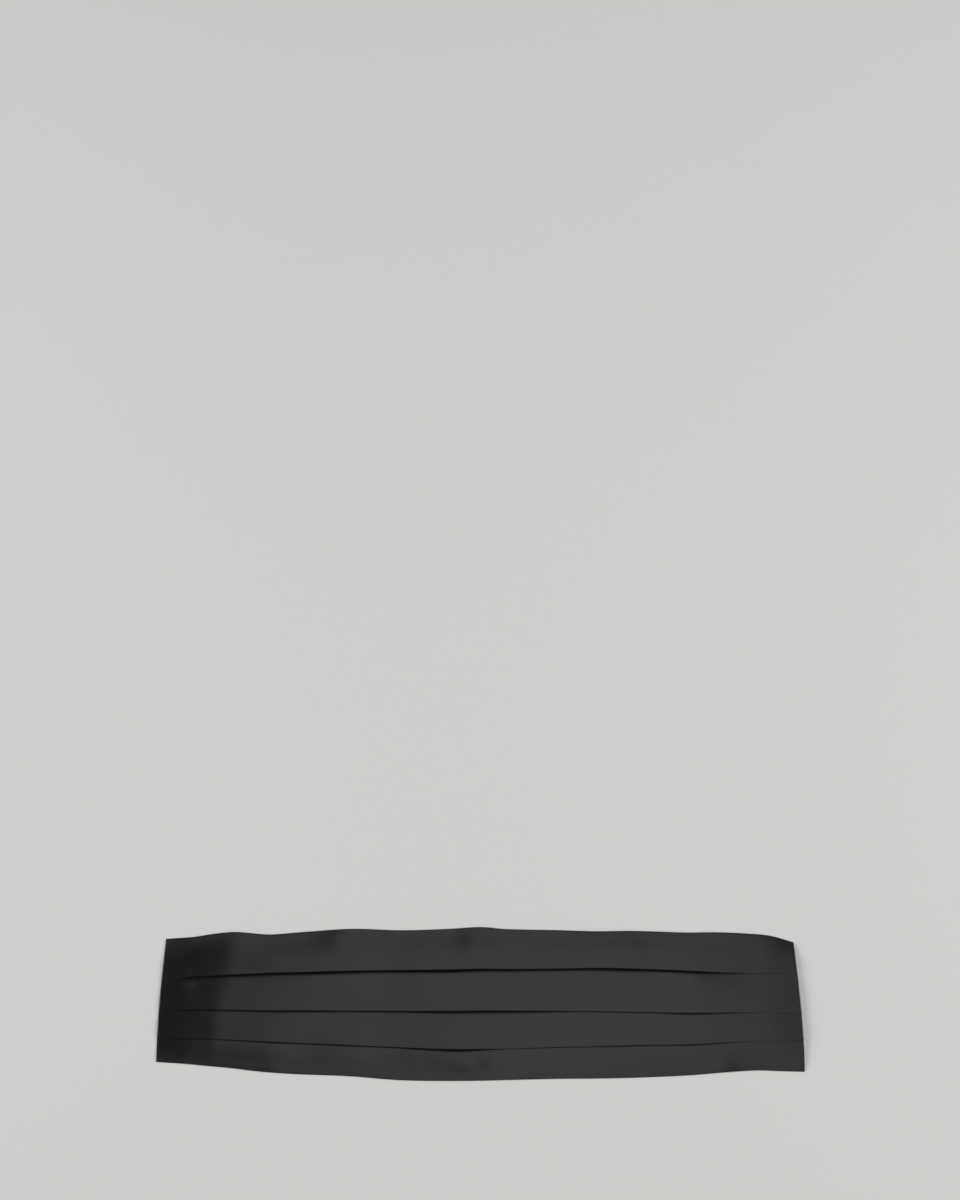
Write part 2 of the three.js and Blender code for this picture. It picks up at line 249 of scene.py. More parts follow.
def tube_corners(rings: int, around: int) -> list[tuple[np.ndarray, np.ndarray]]:
    """The four corners of each face of a tube.

    Args:
        rings: How many rings of points the tube has.
        around: How many points a ring has.

    Returns:
        For each corner the numbers of its ring and of its point, in one order round the
        face. The point's number is one too high where the face closes the ring.
    """
    r, p = np.meshgrid(np.arange(rings - 1), np.arange(around), indexing="ij")
    return [(r, p), (r, p + 1), (r + 1, p + 1), (r + 1, p)]


def tube_quads(rings: int, around: int) -> np.ndarray:
    """The faces of a tube, faces by 4 numbers of points, which run ring by ring."""
    corners = tube_corners(rings, around)
    return np.stack([r * around + p % around for r, p in corners], axis=-1).reshape(-1, 4)


def closed_band(name: str, points: np.ndarray, uv: np.ndarray, capped: bool) -> bpy.types.Object:
    """A mesh from closed rings of points that follow each other.

    Each face joins two neighbouring points of one ring to the same two of the next ring,
    and the last point of a ring is joined to its first.

    Args:
        name: The object's name.
        points: Rings by points by 3.
        uv: Rings by points and one more by 2, so that the map doesn't jump back at the join.
        capped: Whether the first and last rings are closed with a face.

    Returns:
        The new object, with every face smooth.
    """
    rings, around = points.shape[:2]
    corners = tube_corners(rings, around)
    in_map = np.stack([r * (around + 1) + p for r, p in corners], axis=-1).reshape(-1)
    faces = tube_quads(rings, around).tolist()
    corner_uv = uv.reshape(-1, 2)[in_map]
    if capped:
        first = np.arange(around)[::-1]
        faces.append(first.tolist())
        faces.append((first[::-1] + (rings - 1) * around).tolist())
        caps = np.concatenate([uv[0, :around][::-1], uv[-1, :around]])
        corner_uv = np.concatenate([corner_uv, caps])
    mesh = bpy.data.meshes.new(name)
    mesh.from_pydata(points.reshape(-1, 3).tolist(), [], faces)
    layer = mesh.uv_layers.new(name=CLOTH_MAP)
    layer.uv.foreach_set("vector", corner_uv.astype(np.float32).ravel())
    mesh.shade_smooth()
    return linked(name, mesh)


def linked(name: str, data: bpy.types.ID) -> bpy.types.Object:
    """A new object that holds the data and stands at the origin of the scene."""
    made = bpy.data.objects.new(name, data)
    bpy.context.scene.collection.objects.link(made)
    return made


class Shader:
    """A material whose nodes are added one at a time round one surface shader."""

    def __init__(self, name: str, **inputs: float | tuple[float, ...]) -> None:
        """Starts the material.

        Args:
            name: The material's name.
            inputs: The surface shader's own values, by the name of each socket with its
                spaces as underscores.
        """
        self.material = bpy.data.materials.new(name)
        self.material.use_nodes = True
        self.tree = self.material.node_tree
        self.surface = self.tree.nodes["Principled BSDF"]
        for socket, value in inputs.items():
            self.surface.inputs[socket.replace("_", " ")].default_value = value

    def add(self, kind: str, links: dict | None = None, **settings: object) -> bpy.types.Node:
        """Adds a node.

        Args:
            kind: The node's type.
            links: What feeds each of its sockets, by the socket's name or number: a socket
                of another node, or a value.
            settings: The node's own properties.

        Returns:
            The new node.
        """
        node = self.tree.nodes.new(kind)
        for setting, value in settings.items():
            setattr(node, setting, value)
        for socket, value in (links or {}).items():
            self.feed(node.inputs[socket], value)
        return node

    def feed(self, socket: bpy.types.NodeSocket, value: object) -> None:
        """Links a socket to another one, or sets its value."""
        if isinstance(value, bpy.types.NodeSocket):
            self.tree.links.new(value, socket)
        else:
            socket.default_value = value

    def place(self, stretch: tuple[float, float, float], mapped: bool) -> bpy.types.NodeSocket:
        """Coordinates for a pattern.

        Args:
            stretch: How many repeats of the pattern there are in a metre, each way.
            mapped: True reads the cloth's own map, and False the object's coordinates.

        Returns:
            The socket that holds the coordinates.
        """
        if mapped:
            source = self.add("ShaderNodeUVMap", uv_map=CLOTH_MAP).outputs["UV"]
        else:
            source = self.add("ShaderNodeTexCoord").outputs["Object"]
        return self.add("ShaderNodeMapping", {"Vector": source, "Scale": stretch}).outputs["Vector"]

    def noise(self, place: bpy.types.NodeSocket, detail: float = 2.0) -> bpy.types.NodeSocket:
        """A cloudy pattern, from 0 to 1, one cloud to each repeat."""
        node = self.add("ShaderNodeTexNoise", {"Vector": place, "Scale": 1.0, "Detail": detail})
        return node.outputs["Fac"]

    def spread(self, factor: bpy.types.NodeSocket, low: float, high: float) -> bpy.types.NodeSocket:
        """A pattern from 0 to 1, carried over to run from low to high."""
        node = self.add("ShaderNodeMapRange", {"Value": factor, "To Min": low, "To Max": high})
        return node.outputs["Result"]

    def tint(self, factor: bpy.types.NodeSocket, low: tuple, high: tuple) -> None:
        """Colours the surface, with the Mix node's sockets for colours found by number.

        Args:
            factor: A pattern from 0 to 1.
            low: The colour at 0.
            high: The colour at 1.
        """
        node = self.add("ShaderNodeMix", data_type="RGBA")
        self.feed(node.inputs["Factor"], factor)
        self.feed(node.inputs[MIX_LOW], (*low, 1.0))
        self.feed(node.inputs[MIX_HIGH], (*high, 1.0))
        self.feed(self.surface.inputs["Base Color"], node.outputs[MIX_COLOUR])

    def bump(self, height: bpy.types.NodeSocket, depth: float, strength: float) -> None:
        """Raises the surface by a pattern. A second call adds its relief to the first's."""
        normal = self.surface.inputs["Normal"]
        sockets = {"Height": height, "Distance": depth, "Strength": strength}
        node = self.add("ShaderNodeBump", sockets)
        if normal.is_linked:
            self.feed(node.inputs["Normal"], normal.links[0].from_socket)
        self.feed(normal, node.outputs["Normal"])


@dataclass(frozen=True)
class Satin:
    """Black satin: a long float of thread along the front, which spreads the gloss across it."""

    dark: tuple[float, float, float] = (0.005, 0.005, 0.005)
    light: tuple[float, float, float] = (0.007, 0.0067, 0.0062)
    roughness: float = 0.296
    roughness_spread: float = 0.015
    refraction: float = 1.5
    anisotropy: float = 0.67
    quarter_turn: float = 0.25
    clouds: tuple[float, float, float] = (9.0, 14.0, 9.0)
    thread: float = 0.2 * MM
    float_length: float = 3 * MM
    thread_depth: float = 0.02 * MM
    thread_strength: float = 0.25
    slub_length: float = 45 * MM
    slub: float = 1.6 * MM
    slub_depth: float = 0.02 * MM
    slub_strength: float = 0.3

    def material(self) -> bpy.types.Material:
        """The finish as a material, which reads the cloth's own map."""
        shader = Shader(
            "satin",
            IOR=self.refraction,
            Anisotropic=self.anisotropy,
            Anisotropic_Rotation=self.quarter_turn,
        )
        tangent = shader.add("ShaderNodeTangent", direction_type="UV_MAP", uv_map=CLOTH_MAP)
        shader.feed(shader.surface.inputs["Tangent"], tangent.outputs["Tangent"])
        clouds = shader.noise(shader.place(self.clouds, mapped=False))
        shader.tint(clouds, self.dark, self.light)
        threads = shader.place((1 / self.float_length, 1 / self.thread, 1.0), mapped=True)
        slubs = shader.place((1 / self.slub_length, 1 / self.slub, 1.0), mapped=True)
        slub = shader.noise(slubs)
        low = self.roughness - self.roughness_spread
        high = self.roughness + self.roughness_spread
        shader.feed(shader.surface.inputs["Roughness"], shader.spread(slub, low, high))
        shader.bump(shader.noise(threads), self.thread_depth, self.thread_strength)
        shader.bump(slub, self.slub_depth, self.slub_strength)
        return shader.material


@dataclass(frozen=True)
class Ribbon:
    """Matt black ribbon with fine ribs, its colour darker in the troughs: painted shade."""

    # dark is painted shade in the rib troughs and light a painted highlight on the rib crests.
    dark: tuple[float, float, float] = (0.008, 0.008, 0.008)
    light: tuple[float, float, float] = (0.016, 0.016, 0.016)
    roughness: float = 0.55
    sheen: float = 0.1
    sheen_roughness: float = 0.4
    rib: float = 1.1 * MM
    rib_depth: float = 0.15 * MM
    rib_strength: float = 0.7
    thread: float = 0.3 * MM
    thread_strength: float = 0.4

    def material(self) -> bpy.types.Material:
        """The finish as a material, which reads the ribbon's own map.

        At a scale of 1 the wave texture repeats once in each WAVE_LENGTH.
        """
        shader = Shader(
            "strap_ribbon",
            Roughness=self.roughness,
            Sheen_Weight=self.sheen,
            Sheen_Roughness=self.sheen_roughness,
        )
        ribs = shader.add(
            "ShaderNodeTexWave",
            {"Vector": shader.place((1.0, 1.0, 1.0), mapped=True), "Scale": WAVE_LENGTH / self.rib},
            bands_direction="X",
        ).outputs["Fac"]
        threads = shader.noise(shader.place((1 / self.thread, 2 / self.thread, 1.0), mapped=True))
        # The ribs' pattern tints the colour too: painted shade in the troughs, painted highlight on
        # the crests.
        shader.tint(ribs, self.dark, self.light)
        shader.bump(ribs, self.rib_depth, self.rib_strength)
        shader.bump(threads, self.rib_depth / 4, self.thread_strength)
        return shader.material


@dataclass(frozen=True)
class Thread:
    """Black sewing thread with a faint gloss."""

    dark: tuple[float, float, float] = (0.018, 0.018, 0.018)
    light: tuple[float, float, float] = (0.035, 0.035, 0.035)
    roughness: float = 0.45
    twist: float = 0.25 * MM
    twist_strength: float = 0.5

    def material(self) -> bpy.types.Material:
        """The finish as a material."""
        shader = Shader("sewing_thread", Roughness=self.roughness)
        twists = shader.noise(shader.place((1 / self.twist,) * 3, mapped=False))
        shader.tint(twists, self.dark, self.light)
        shader.bump(twists, self.twist / 4, self.twist_strength)
        return shader.material


@dataclass(frozen=True)
class BrushedMetal:
    """Nickel-coloured plate, brushed along its length."""

    dark: tuple[float, float, float] = (0.55, 0.55, 0.54)
    light: tuple[float, float, float] = (0.66, 0.66, 0.65)
    smoothest: float = 0.22
    roughest: float = 0.38
    scratch_length: float = 12 * MM
    scratch: float = 0.12 * MM
    scratch_strength: float = 0.2

    def material(self) -> bpy.types.Material:
        """The finish as a material."""
        shader = Shader("clasp_metal", Metallic=1.0)
        stretch = (1 / self.scratch_length, 1 / self.scratch, 1 / self.scratch)
        scratches = shader.noise(shader.place(stretch, mapped=False), detail=4.0)
        shader.tint(scratches, self.dark, self.light)
        roughness = shader.spread(scratches, self.smoothest, self.roughest)
        shader.feed(shader.surface.inputs["Roughness"], roughness)
        shader.bump(scratches, self.scratch / 4, self.scratch_strength)
        return shader.material


@dataclass(frozen=True)
class PaleFloor:
    """Plain pale matt floor."""

    colour: tuple[float, float, float] = (0.74, 0.735, 0.725)
    darkest: float = 0.97
    roughness: float = 0.9
    clouds: tuple[float, float, float] = (0.8, 0.8, 0.8)

    def material(self) -> bpy.types.Material:
        """The finish as a material."""
        shader = Shader("pale_floor", Roughness=self.roughness)
        darker = tuple(part * self.darkest for part in self.colour)
        shader.tint(shader.noise(shader.place(self.clouds, mapped=False)), darker, self.colour)
        return shader.material


@dataclass(frozen=True)
class Underlay:
    """The heights of what lies under the front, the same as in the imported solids."""

    strap: float = 1 * MM
    seat: float = 0.3 * MM
    bridge: float = 0.6 * MM
    clasp: float = 1.2 * MM

    @property
    def run(self) -> float:
        """The middle of the strap where it lies on the floor."""
        return self.strap / 2

    @property
    def upper(self) -> float:
        """The middle of the strap where it lies on itself."""
        return self.run + self.strap + self.seat

    @property
    def over_clasp(self) -> float:
        """The middle of the strap where it passes over the clasp's bar."""
        return self.strap + self.seat + self.clasp + self.seat + self.strap / 2

    @property
    def lift(self) -> float:
        """The front's underside where it bridges the clasp."""
        return self.over_clasp + self.strap / 2 + self.seat + self.bridge


@dataclass
class Stretch:
    """A stretch of the cloth's middle line in every column, each field columns by points.

    y and z are its place, front is 1 on the face that shows and 0 on the back and inside the
    folds, short is how far it stops short of the front's ends, and seam is the height that
    its ends are pressed down to.
    """

    y: np.ndarray
    z: np.ndarray
    front: np.ndarray
    short: np.ndarray
    seam: np.ndarray


@dataclass
class PleatedFront:
    """The satin front: one cloth with three long pleats, turned over at both long edges.

    pitch is the distance from one layer of cloth to the next. At the ends it closes down to
    pressed_pitch, over the shares left_pressed and right_pressed of the length. Where a fold
    is open, its lip is rolled wider by roll and raised by gap, and the pleat beneath it rises
    out of the groove to its fullness. The back stops back_short, and the layers inside the
    folds stop inner_short, before each end of the face. left_part and right_part are where
    the columns grow closer, and the numbers of points are those of one column's stretches.
    """

    length: float
    width: float
    underlay: Underlay
    left_slant: float = 8.6 * MM
    right_slant: float = 9.9 * MM
    slant_bend: float = 1.6
    cloth: float = 0.35 * MM
    pitch: float = 0.6 * MM
    pressed_pitch: float = 0.45 * MM
    left_pressed: float = 0.05
    right_pressed: float = 0.15
    pleat_depth: float = 12 * MM
    lip_reach: float = 12 * MM
    roll: float = 0.5 * MM
    edge_roll: float = 0.3 * MM
    edge_slope: float = 9 * MM
    gap: float = 0.5 * MM
    widest: float = 1.3
    fullness: float = 1.7 * MM
    groove: float = 1.6 * MM
    groove_steps: tuple[float, ...] = (0.15, 0.35, 0.6, 0.9, 1.3, 1.8, 2.5, 3.5)
    top_groove: float = 5 * MM
    level_half: float = 14.5 * MM
    slope_skew: float = 0.13
    skew_start: tuple[float, float] = (-0.5, -0.45)
    skew_end: tuple[float, float] = (-0.35, 0.0)
    skew_middle: float = 15 * MM
    rim: float = 0.9 * MM
    inner_rim: float = 0.3
    rim_steps: int = 5
    back_short: float = 0.8 * MM
    inner_short: float = 3 * MM
    short_fade: float = 20 * MM
    broad_relief: float = 0.1 * MM
    broad_waves: tuple[float, float] = (70 * MM, 160 * MM)
    fine_relief: float = 0.02 * MM
    fine_waves: tuple[float, float] = (18 * MM, 45 * MM)
    wave_count: int = 18
    seed: int = 4
    left_part: float = -0.38
    right_part: float = 0.44
    column_counts: tuple[int, int, int] = (36, 130, 16)
    back_points: int = 26
    edge_points: int = 9
    face_points: int = 7
    lip_points: int = 9
    last_face_points: int = 12
    roll_points: int = 11
    underfold_points: int = 6
    tuck_points: int = 7
    hidden_shares: tuple[float, ...] = (0.3, 0.6, 0.85)

    def columns(self) -> tuple[np.ndarray, np.ndarray]:
        """The places of the columns, closer together on the left slope and at both ends.

        Returns:
            The places as shares of the length from the middle, and how far each column is
            turned round the rim of its end, from 0 to 1. Both are columns by 1.
        """
        at_left, between, at_right = self.column_counts
        left = np.linspace(-0.5, self.left_part, at_left)
        middle = np.linspace(self.left_part, self.right_part, between)[1:]
        right = np.linspace(self.right_part, 0.5, at_right)[1:]
        rim = np.arange(1, self.rim_steps + 1) / self.rim_steps
        places = np.concatenate([np.full(self.rim_steps, -0.5), left, middle, right])
        places = np.concatenate([places, np.full(self.rim_steps, 0.5)])
        turned = np.concatenate([rim[::-1], np.zeros(len(places) - 2 * self.rim_steps), rim])
        return places[:, None], turned[:, None]

    def column(self, name: str, along: np.ndarray, fold: int | None = None) -> np.ndarray:
        """One column of the table of sections, in metres, at any place along the front."""
        values = [getattr(row, name) for row in SECTIONS]
        if fold is not None:
            values = [value[fold] for value in values]
        return through([row.along for row in SECTIONS], values, along) * self.width

    def lift_at(self, along: np.ndarray) -> np.ndarray:
        """The height of the front's underside over the strap, at any place along the front."""
        share = through([row.along for row in LIFTS], [row.share for row in LIFTS], along)
        return share * self.underlay.lift

    def relief(self, along: np.ndarray, y: np.ndarray) -> np.ndarray:
        """The soft swells and faint ripples of the face.

        A swell is its height times e to the power of minus the squared distance from its
        middle, counted in its reaches. The ripples are the sum of many long waves whose
        directions and lengths are drawn at random from a fixed seed, raised so that they
        never reach below the cloth's resting height.

        Args:
            along: Shares of the length from the middle.
            y: Places across the front.

        Returns:
            How far the face is raised.
        """
        x = along * self.length
        height = np.zeros(np.broadcast(along, y).shape)
        for swell in SWELLS:
            dx = x - swell.along * self.length
            dy = y - swell.across * self.width
            turn = radians(swell.turn)
            a = (dx * np.cos(turn) + dy * np.sin(turn)) / (swell.reach_along * self.length)
            b = (dy * np.cos(turn) - dx * np.sin(turn)) / (swell.reach_across * self.width)
            height = height + swell.height * np.exp(-a * a - b * b)
        broad = self.ripples(x, y, self.broad_waves, self.seed)
        fine = self.ripples(x, y, self.fine_waves, self.seed + 1)
        return height + self.broad_relief * (1 + broad) + self.fine_relief * (1 + fine)

    def ripples(
        self, x: np.ndarray, y: np.ndarray, lengths: tuple[float, float], seed: int
    ) -> np.ndarray:
        """Twice the mean of cosine waves with random directions, lengths and starts.

        Args:
            x: Places along the front.
            y: Places across it.
            lengths: The shortest and the longest wave's length.
            seed: The seed of the random draws.

        Returns:
            Heights, cut off at -1 and 1.
        """
        draw = np.random.default_rng(seed)
        turn = draw.uniform(0, pi, self.wave_count)
        number = 2 * pi / draw.uniform(*lengths, self.wave_count)
        start = draw.uniform(0, 2 * pi, self.wave_count)
        across = x[..., None] * np.cos(turn) + y[..., None] * np.sin(turn)
        waves = np.cos(across * number + start)
        return np.clip(waves.mean(axis=-1) * 2, -1, 1)

    def prepare(self, along: np.ndarray) -> None:
        """Reads the tables at every column, and keeps what each stretch of cloth needs."""
        places = [row.along for row in OPENINGS]
        tables = [[getattr(row, name) for row in OPENINGS] for name in ("first", "second", "third")]
        self.along = along
        self.top = self.column("top", along)
        self.bottom = self.column("bottom", along)
        self.folds = [self.column("folds", along, fold) for fold in range(3)]
        self.opened = [np.clip(through(places, table, along), 0, self.widest) for table in tables]
        pressed = np.where(along < 0, self.left_pressed, self.right_pressed)
        self.closed = ease(0.5 - pressed, 0.5, np.abs(along))
        self.layer = blend(self.pitch, self.pressed_pitch, self.closed)
        self.edge_radius = self.layer / 2 + self.edge_roll * (1 - self.closed)
        self.edge_reach = self.edge_radius + self.cloth / 2

    def underside(self, along: np.ndarray, y: np.ndarray) -> np.ndarray:
        """The height of the front's underside.

        It is level over the strap and curves down to the floor at both long edges: t is the
        share of the way there, and it has come down by t squared times two fifths, plus
        three fifths of t to the fourth. The slope at the left end leans a little.

        Args:
            along: Shares of the length from the middle.
            y: Places across the front.

        Returns:
            The heights.
        """
        edge = np.where(y > 0, self.top, -self.bottom) - self.edge_reach
        skew = self.slope_skew * (1 - ease(*self.skew_end, along)) * ease(*self.skew_start, along)
        shift = skew * (y - self.skew_middle) / self.length
        lift = self.lift_at(np.clip(along - shift, -0.5, 0.5))
        t = np.clip((np.abs(y) - self.level_half) / (edge - self.level_half), 0, 1)
        return lift * (1 - t**2 * (0.4 + 0.6 * t**2))

    def height(self, y: np.ndarray, layer: np.ndarray | float) -> np.ndarray:
        """The height of the cloth's middle at one layer, each one pitch above the one below.

        Args:
            y: Places across the front.
            layer: 0 is the back, 1 a tucked layer, 2 the layer under a fold, 3 its face.

        Returns:
            The heights.
        """
        return self.underside(self.along, y) + self.cloth / 2 + layer * self.layer

    def stretch(
        self,
        y: np.ndarray,
        z: np.ndarray,
        front: np.ndarray | float = 0.0,
        short: float | None = None,
        seam: np.ndarray | None = None,
    ) -> Stretch:
        """A stretch of cloth whose missing facts are filled in."""
        full = np.broadcast_to(front, y.shape)
        gone = np.full(y.shape, self.inner_short if short is None else short)
        return Stretch(y, z, full, gone * (1 - full), z if seam is None else seam)

    def back(self) -> Stretch:
        """The back, from the bottom edge to the top one."""
        share = np.linspace(0, 1, self.back_points)[1:-1]
        y = blend(self.bottom + self.edge_reach, self.top - self.edge_reach, share)
        return self.stretch(y, self.height(y, 0.0), short=self.back_short)

    def edge_turn(self, side: int) -> Stretch:
        """The half circle of cloth at a long edge.

        Args:
            side: 1 for the top one, from the back to the face, and -1 for the bottom one,
                from the face to the back.

        Returns:
            The stretch of cloth.
        """
        angle = np.linspace(0, pi, self.edge_points)
        middle = self.top - self.edge_reach if side > 0 else self.bottom + self.edge_reach
        back = self.height(middle, 0.0)
        y = middle + side * self.edge_radius * np.sin(angle)
        z = back + self.edge_radius * (1 - side * np.cos(angle))
        front = np.broadcast_to((1 - side * np.cos(angle)) / 2, y.shape)
        z = z + self.relief(self.along, middle) * front
        seam = np.broadcast_to(back + self.layer, y.shape)
        return self.stretch(y, z, front, self.back_short, seam)

    def lip(self, fold: int) -> tuple[np.ndarray, np.ndarray, np.ndarray]:
        """The radius of a fold's roll, the middle of its roll and how far it is raised."""
        radius = self.layer / 2 + self.roll * self.opened[fold]
        middle = self.folds[fold] + radius + self.cloth / 2
        return radius, middle, self.gap * self.opened[fold]

    def face_height(self, fold: int, y: np.ndarray) -> tuple[np.ndarray, np.ndarray]:
        """The height of a pleat's face.

        It climbs from the tucked layer, where it comes out of the fold above, to the layer
        over its own tuck. Under an open fold the climb is quick, one less e to the power of
        minus the distance in grooves, and goes on to the pleat's fullness, so that a steep
        groove lies there. Under a shut one it is a smooth slope over the whole face. Across
        the face the fullness gives way to the height of the pleat's own roll. The top pleat
        comes out of no fold, so its slope is the smooth one. The bottom pleat has no tuck, so
        it swells as much and comes down again. Both also rise a little to meet the roll of
        the long edge.

        Args:
            fold: The pleat's number, from the top. The last one has no fold of its own.
            y: Places across the front.

        Returns:
            The heights, and those that the ends are pressed down to.
        """
        upper = self.top - self.edge_reach if fold == 0 else self.folds[fold - 1]
        groove = self.top_groove if fold == 0 else self.groove
        share = 0.0 if fold == 0 else self.opened[fold - 1]
        full = self.fullness * share
        quick = 1 - np.exp(-np.maximum(upper - y, 0) / groove)
        edge_rise = 2 * self.edge_radius - self.layer
        if fold == 3:
            end = self.bottom + self.edge_reach
            down = ease(end, upper - self.groove, y)
            climb = quick * share * down
            lift = full * quick * down + edge_rise * (1 - ease(end, end + self.edge_slope, y))
        else:
            slope_end = self.folds[fold] + self.pleat_depth
            climb = blend(1 - ease(slope_end, upper, y), quick, share)
            _, end, gap = self.lip(fold)
            rise = gap + 2 * self.roll * self.opened[fold]
            lift = blend(rise, full, ease(end, upper, y)) * quick
        if fold == 0:
            lift = lift + edge_rise * ease(upper - self.edge_slope, upper, y)
        shown = 1.0
        if fold > 0:
            shown = shown * ease(0, self.pleat_depth, upper - y)
        if fold < 3:
            shown = shown * ease(0, self.pleat_depth / 2, y - end)
        relief = self.relief(self.along, y) * shown
        return self.height(y, 1 + 2 * climb) + lift + relief, self.height(y, 1 + climb)

    def face(self, fold: int) -> Stretch:
        """The part of a pleat's face that shows, with its points closest in the groove."""
        upper = self.top - self.edge_reach if fold == 0 else self.folds[fold - 1]
        inside = upper - self.groove * np.array(self.groove_steps)
        start = inside[:, -1:]
        if fold < 3:
            _, end, _ = self.lip(fold)
            near = end + self.lip_reach
            coarse = blend(start, near, np.linspace(0, 1, self.face_points)[1:-1])
            fine = blend(near, end, np.linspace(0, 1, self.lip_points)[:-1])
            y = np.concatenate([inside, coarse, fine], axis=1)
        else:
            end = self.bottom + self.edge_reach
            coarse = blend(start, end, np.linspace(0, 1, self.last_face_points)[1:-1])
            y = np.concatenate([inside, coarse], axis=1)
        if fold > 0:
            y = np.concatenate([upper, y], axis=1)
        z, seam = self.face_height(fold, y)
        return self.stretch(y, z, 1.0, seam=seam)

    def fold_turn(self, fold: int) -> Stretch:
        """The roll at a fold's edge, a half circle from its face to the layer beneath."""
        angle = np.linspace(0, pi, self.roll_points)
        radius, middle, gap = self.lip(fold)
        low = self.height(middle, 2.0) + gap
        y = middle - radius * np.sin(angle)
        z = low + radius * (1 + np.cos(angle))
        front = np.broadcast_to((1 + np.cos(angle)) / 2, y.shape)
        return self.stretch(y, z, front, seam=np.broadcast_to(low, y.shape))

    def underfold(self, fold: int) -> Stretch:
        """The layer beneath a fold, from its roll back to its tuck."""
        _, middle, gap = self.lip(fold)
        tuck = self.folds[fold] + self.pleat_depth
        y = blend(middle, tuck, np.linspace(0, 1, self.underfold_points)[1:-1])
        return self.stretch(y, self.height(y, 2.0) + gap * (1 - ease(middle, tuck, y)))

    def tuck_turn(self, fold: int) -> Stretch:
        """The half circle inside a fold, where the cloth turns down to the next pleat."""
        angle = np.linspace(0, pi, self.tuck_points)
        tuck = self.folds[fold] + self.pleat_depth
        radius = self.layer / 2
        y = tuck + radius * np.sin(angle)
        return self.stretch(y, self.height(tuck, 1.5) + radius * np.cos(angle))

    def hidden(self, fold: int) -> Stretch:
        """The start of the next pleat, still under the fold."""
        tuck = self.folds[fold] + self.pleat_depth
        y = blend(tuck, self.folds[fold], np.array(self.hidden_shares))
        front = ease(self.pleat_depth / 2, self.cloth, y - self.folds[fold])
        return self.stretch(y, self.height(y, 1.0), front)

    def cloth_lines(self) -> Stretch:
        """The whole closed line of the cloth's middle in every column, in one stretch."""
        parts = [self.back(), self.edge_turn(1)]
        for fold in range(3):
            parts += [self.face(fold), self.fold_turn(fold), self.underfold(fold)]
            parts += [self.tuck_turn(fold), self.hidden(fold)]
        parts += [self.face(3), self.edge_turn(-1)]
        names = [part.name for part in fields(Stretch)]
        return Stretch(*[np.concatenate([getattr(p, n) for p in parts], axis=1) for n in names])

    def surface(self) -> tuple[np.ndarray, np.ndarray]:
        """The cloth's middle surface.

        The ends slant: from the lower corner to the upper one they come in by the slant
        times the height's share to the power of the bend. Round the rim of each end the face
        follows a quarter of an ellipse down to its seam height. Where a layer stops short of
        the end, it keeps its height over the underside of the place that it stops at.

        Returns:
            The points, columns by points by 3, and the map, with one more point in each
            column: the distance along the front, and the distance round the cloth.
        """
        along, turned = self.columns()
        self.prepare(along)
        line = self.cloth_lines()
        side = np.sign(along)
        up = np.clip((line.y - self.bottom) / (self.top - self.bottom), 0, 1) ** self.slant_bend
        left = -self.length / 2 + self.rim + self.left_slant * up
        right = self.length / 2 - self.rim - self.right_slant * up
        x = blend(left, right, along + 0.5)
        near = 1 - ease(0, self.short_fade / self.length, 0.5 - np.abs(along))
        angle = turned * pi / 2
        reach = line.front * np.sin(angle) + (1 - line.front) * turned * self.inner_rim
        short = line.short * near
        x = x + side * (reach * self.rim - short)
        z = line.z + line.front * (line.seam - line.z) * (1 - np.cos(angle))
        ends_at = along - side * short / self.length
        z = z + self.underside(ends_at, line.y) - self.underside(along, line.y)
        step_y = np.diff(line.y, axis=1, append=line.y[:, :1])
        steps = np.hypot(step_y, np.diff(z, axis=1, append=z[:, :1]))
        round_cloth = np.concatenate([np.zeros(along.shape), np.cumsum(steps, axis=1)], axis=1)
        along_map = np.concatenate([x, x[:, :1]], axis=1)
        return np.stack([x, line.y, z], axis=-1), np.stack([along_map, round_cloth], axis=-1)

    def build(self, finish: Satin, rests_on: list[bpy.types.Object]) -> bpy.types.Object:
        """Args:
            finish: The cloth's finish.
            rests_on: What lies beneath it. Not used.

        Returns:
            The finished piece.
        """
        points, cloth_map = self.surface()
        piece = closed_band("pleated_satin", points, cloth_map, capped=False)
        wall = piece.modifiers.new("cloth", "SOLIDIFY")
        wall.thickness = self.cloth
        wall.offset = 0.0
        piece.data.materials.append(finish.material())
        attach(piece, "root")
        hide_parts("pleated_front")
        return piece


